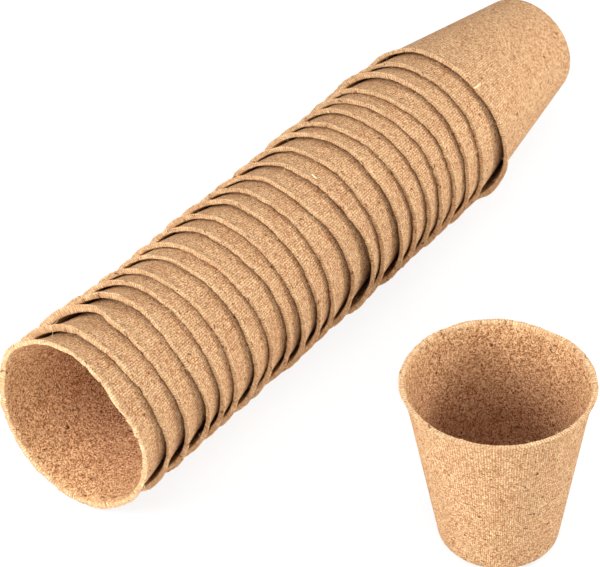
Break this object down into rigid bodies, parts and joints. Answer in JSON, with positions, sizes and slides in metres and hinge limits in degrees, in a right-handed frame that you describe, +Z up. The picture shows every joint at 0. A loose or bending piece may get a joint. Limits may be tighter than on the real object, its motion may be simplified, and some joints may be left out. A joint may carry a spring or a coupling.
{
  "type": "peat pot set",
  "caption": "Round tapered pots of pressed peat fibre with a flared lip: a nested stack lying on its side, and one pot standing beside it.",
  "frame": {"origin": "on the surface that the set rests on, below the middle of its bounding box", "axes": "+X along the stack from its open mouth towards the base of its outermost pot, +Y from the standing pot towards the stack, +Z up"},
  "size_m": [0.3428, 0.2342, 0.082],
  "materials": {
    "peat_fibre": "matt pressed peat and wood fibre, sand brown with dark flecks"
  },
  "bodies": {
    "stack_pot_23": {"stack_pot_23": "peat_fibre"},
    "stack_pot_22": {"stack_pot_22": "peat_fibre"},
    "stack_pot_21": {"stack_pot_21": "peat_fibre"},
    "stack_pot_20": {"stack_pot_20": "peat_fibre"},
    "stack_pot_19": {"stack_pot_19": "peat_fibre"},
    "stack_pot_18": {"stack_pot_18": "peat_fibre"},
    "stack_pot_17": {"stack_pot_17": "peat_fibre"},
    "stack_pot_16": {"stack_pot_16": "peat_fibre"},
    "stack_pot_15": {"stack_pot_15": "peat_fibre"},
    "stack_pot_14": {"stack_pot_14": "peat_fibre"},
    "stack_pot_13": {"stack_pot_13": "peat_fibre"},
    "stack_pot_12": {"stack_pot_12": "peat_fibre"},
    "stack_pot_11": {"stack_pot_11": "peat_fibre"},
    "stack_pot_10": {"stack_pot_10": "peat_fibre"},
    "stack_pot_09": {"stack_pot_09": "peat_fibre"},
    "stack_pot_08": {"stack_pot_08": "peat_fibre"},
    "stack_pot_07": {"stack_pot_07": "peat_fibre"},
    "stack_pot_06": {"stack_pot_06": "peat_fibre"},
    "stack_pot_05": {"stack_pot_05": "peat_fibre"},
    "stack_pot_04": {"stack_pot_04": "peat_fibre"},
    "stack_pot_03": {"stack_pot_03": "peat_fibre"},
    "stack_pot_02": {"stack_pot_02": "peat_fibre"},
    "stack_pot_01": {"stack_pot_01": "peat_fibre"},
    "standing_pot": {"standing_pot": "peat_fibre"}
  },
  "joints": [
    {"name": "stack_pot_22_slide", "type": "slide", "parent": "stack_pot_23", "child": "stack_pot_22", "axis": [-1, 0, 0], "range_m": [0, 0.08]},
    {"name": "stack_pot_21_slide", "type": "slide", "parent": "stack_pot_22", "child": "stack_pot_21", "axis": [-1, 0, 0], "range_m": [0, 0.08]},
    {"name": "stack_pot_20_slide", "type": "slide", "parent": "stack_pot_21", "child": "stack_pot_20", "axis": [-1, 0, 0], "range_m": [0, 0.08]},
    {"name": "stack_pot_19_slide", "type": "slide", "parent": "stack_pot_20", "child": "stack_pot_19", "axis": [-1, 0, 0], "range_m": [0, 0.08]},
    {"name": "stack_pot_18_slide", "type": "slide", "parent": "stack_pot_19", "child": "stack_pot_18", "axis": [-1, 0, 0], "range_m": [0, 0.08]},
    {"name": "stack_pot_17_slide", "type": "slide", "parent": "stack_pot_18", "child": "stack_pot_17", "axis": [-1, 0, 0], "range_m": [0, 0.08]},
    {"name": "stack_pot_16_slide", "type": "slide", "parent": "stack_pot_17", "child": "stack_pot_16", "axis": [-1, 0, 0], "range_m": [0, 0.08]},
    {"name": "stack_pot_15_slide", "type": "slide", "parent": "stack_pot_16", "child": "stack_pot_15", "axis": [-1, 0, 0], "range_m": [0, 0.08]},
    {"name": "stack_pot_14_slide", "type": "slide", "parent": "stack_pot_15", "child": "stack_pot_14", "axis": [-1, 0, 0], "range_m": [0, 0.08]},
    {"name": "stack_pot_13_slide", "type": "slide", "parent": "stack_pot_14", "child": "stack_pot_13", "axis": [-1, 0, 0], "range_m": [0, 0.08]},
    {"name": "stack_pot_12_slide", "type": "slide", "parent": "stack_pot_13", "child": "stack_pot_12", "axis": [-1, 0, 0], "range_m": [0, 0.08]},
    {"name": "stack_pot_11_slide", "type": "slide", "parent": "stack_pot_12", "child": "stack_pot_11", "axis": [-1, 0, 0], "range_m": [0, 0.08]},
    {"name": "stack_pot_10_slide", "type": "slide", "parent": "stack_pot_11", "child": "stack_pot_10", "axis": [-1, 0, 0], "range_m": [0, 0.08]},
    {"name": "stack_pot_09_slide", "type": "slide", "parent": "stack_pot_10", "child": "stack_pot_09", "axis": [-1, 0, 0], "range_m": [0, 0.08]},
    {"name": "stack_pot_08_slide", "type": "slide", "parent": "stack_pot_09", "child": "stack_pot_08", "axis": [-1, 0, 0], "range_m": [0, 0.08]},
    {"name": "stack_pot_07_slide", "type": "slide", "parent": "stack_pot_08", "child": "stack_pot_07", "axis": [-1, 0, 0], "range_m": [0, 0.08]},
    {"name": "stack_pot_06_slide", "type": "slide", "parent": "stack_pot_07", "child": "stack_pot_06", "axis": [-1, 0, 0], "range_m": [0, 0.08]},
    {"name": "stack_pot_05_slide", "type": "slide", "parent": "stack_pot_06", "child": "stack_pot_05", "axis": [-1, 0, 0], "range_m": [0, 0.08]},
    {"name": "stack_pot_04_slide", "type": "slide", "parent": "stack_pot_05", "child": "stack_pot_04", "axis": [-1, 0, 0], "range_m": [0, 0.08]},
    {"name": "stack_pot_03_slide", "type": "slide", "parent": "stack_pot_04", "child": "stack_pot_03", "axis": [-1, 0, 0], "range_m": [0, 0.08]},
    {"name": "stack_pot_02_slide", "type": "slide", "parent": "stack_pot_03", "child": "stack_pot_02", "axis": [-1, 0, 0], "range_m": [0, 0.08]},
    {"name": "stack_pot_01_slide", "type": "slide", "parent": "stack_pot_02", "child": "stack_pot_01", "axis": [-1, 0, 0], "range_m": [0, 0.08]},
    {"name": "standing_pot_lift", "type": "slide", "parent": "stack_pot_23", "child": "standing_pot", "axis": [0, 0, 1], "range_m": [0, 0.1]}
  ]
}
